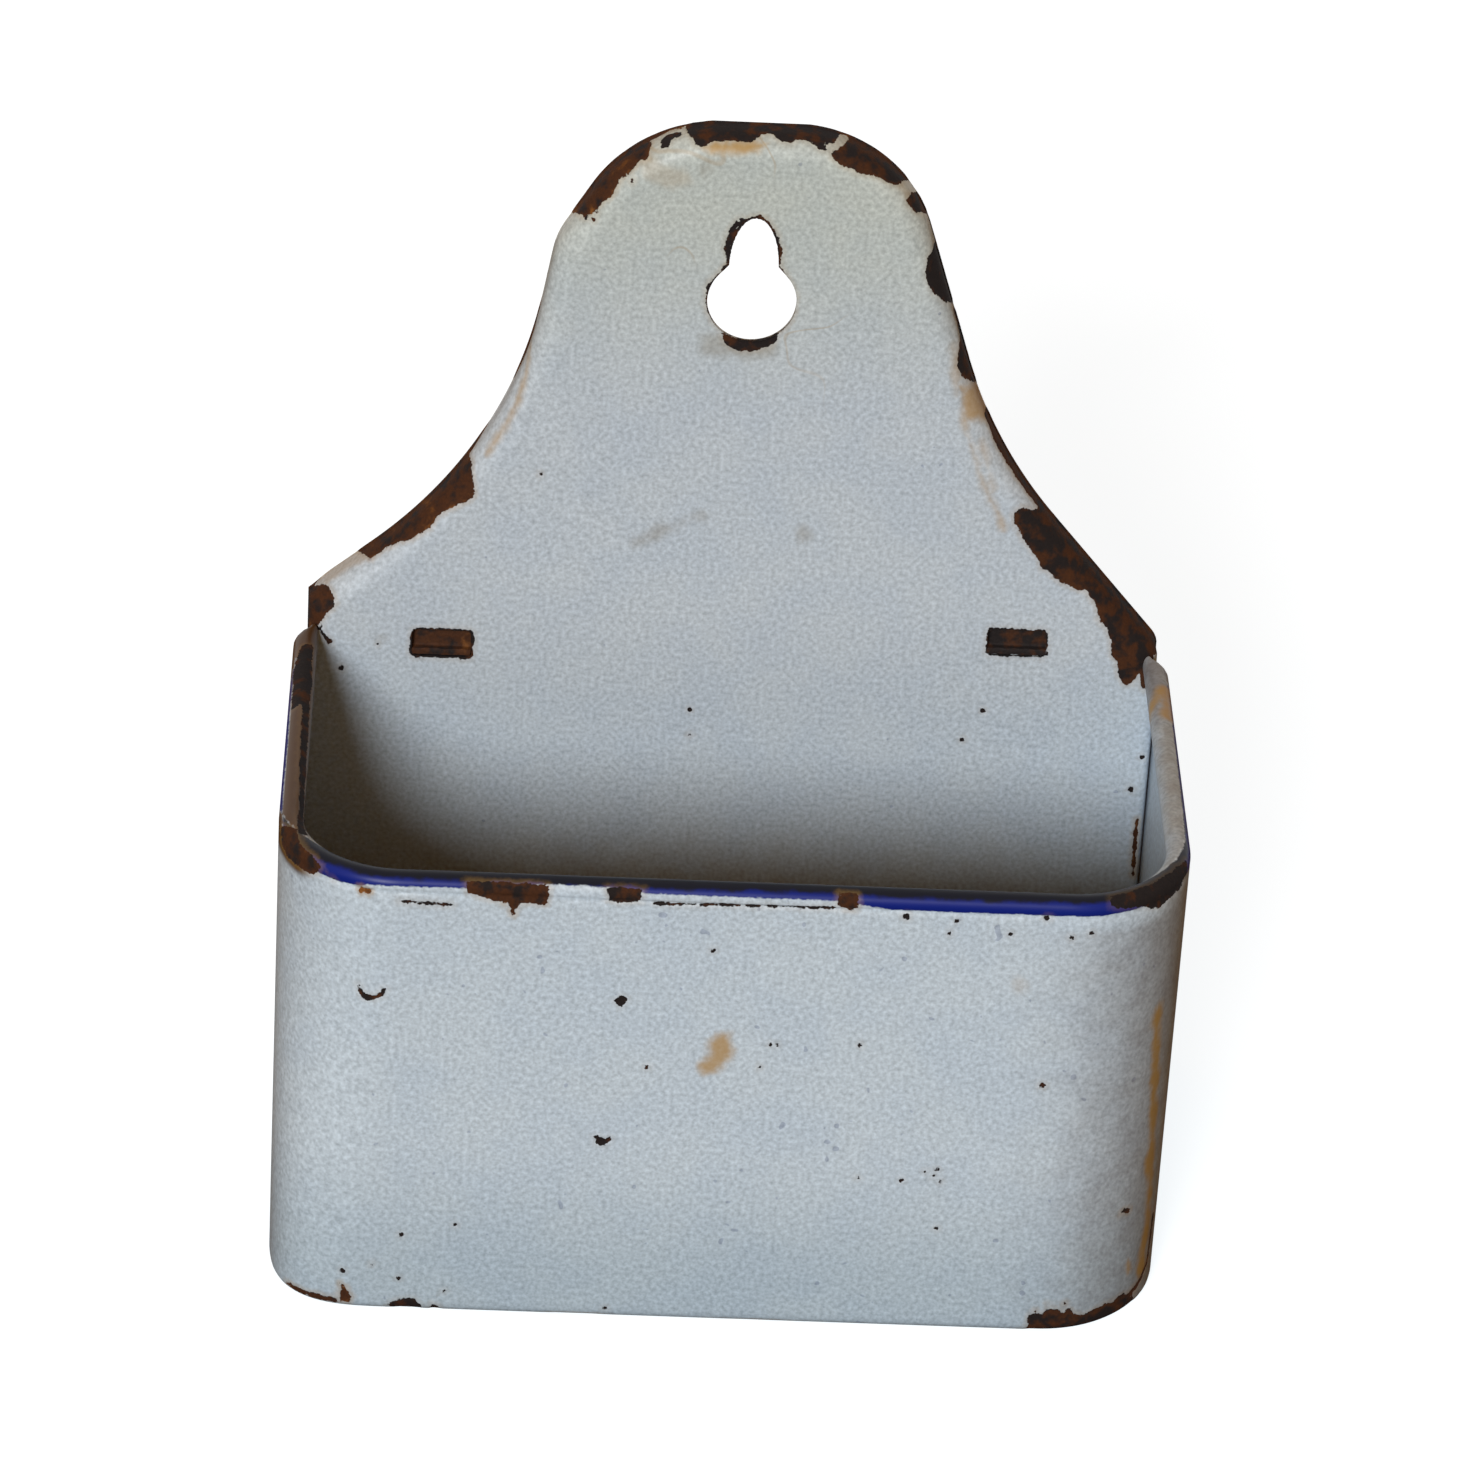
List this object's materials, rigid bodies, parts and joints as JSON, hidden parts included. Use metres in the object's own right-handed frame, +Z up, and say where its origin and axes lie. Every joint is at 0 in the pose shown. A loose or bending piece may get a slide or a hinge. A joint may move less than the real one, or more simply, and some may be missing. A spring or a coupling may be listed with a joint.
{
  "type": "enamelled metal wall box",
  "caption": "Small enamelled steel wall box, open at the top, with a bell-shaped back plate, a keyhole to hang it by and slots for a lid's hinge tongues.",
  "frame": {"origin": "on the surface that the box stands on, at the middle of its width and depth", "axes": "+Z up, out of the box's mouth and towards the keyhole; +Y towards the wall that it hangs on; +X to the right as one looks at its front"},
  "size_m": [0.11, 0.065, 0.1322],
  "materials": {
    "plate_enamel": "glossy pale blue-grey vitreous enamel on sheet steel, chipped and rusted along its edges",
    "body_enamel": "glossy pale blue-grey vitreous enamel on sheet steel, with a blue enamelled rim, chipped at the edges",
    "bottom_enamel": "glossy pale blue-grey vitreous enamel on sheet steel",
    "rim_wire": "dull iron wire inside the rolled rim",
    "rusted_tongue": "bare sheet steel, rusted brown"
  },
  "bodies": {
    "root": {"back_plate": "plate_enamel", "body_wall": "body_enamel", "bottom_plate": "bottom_enamel", "rim_wire": "rim_wire", "hinge_tongue_left": "rusted_tongue", "hinge_tongue_right": "rusted_tongue"}
  },
  "joints": []
}
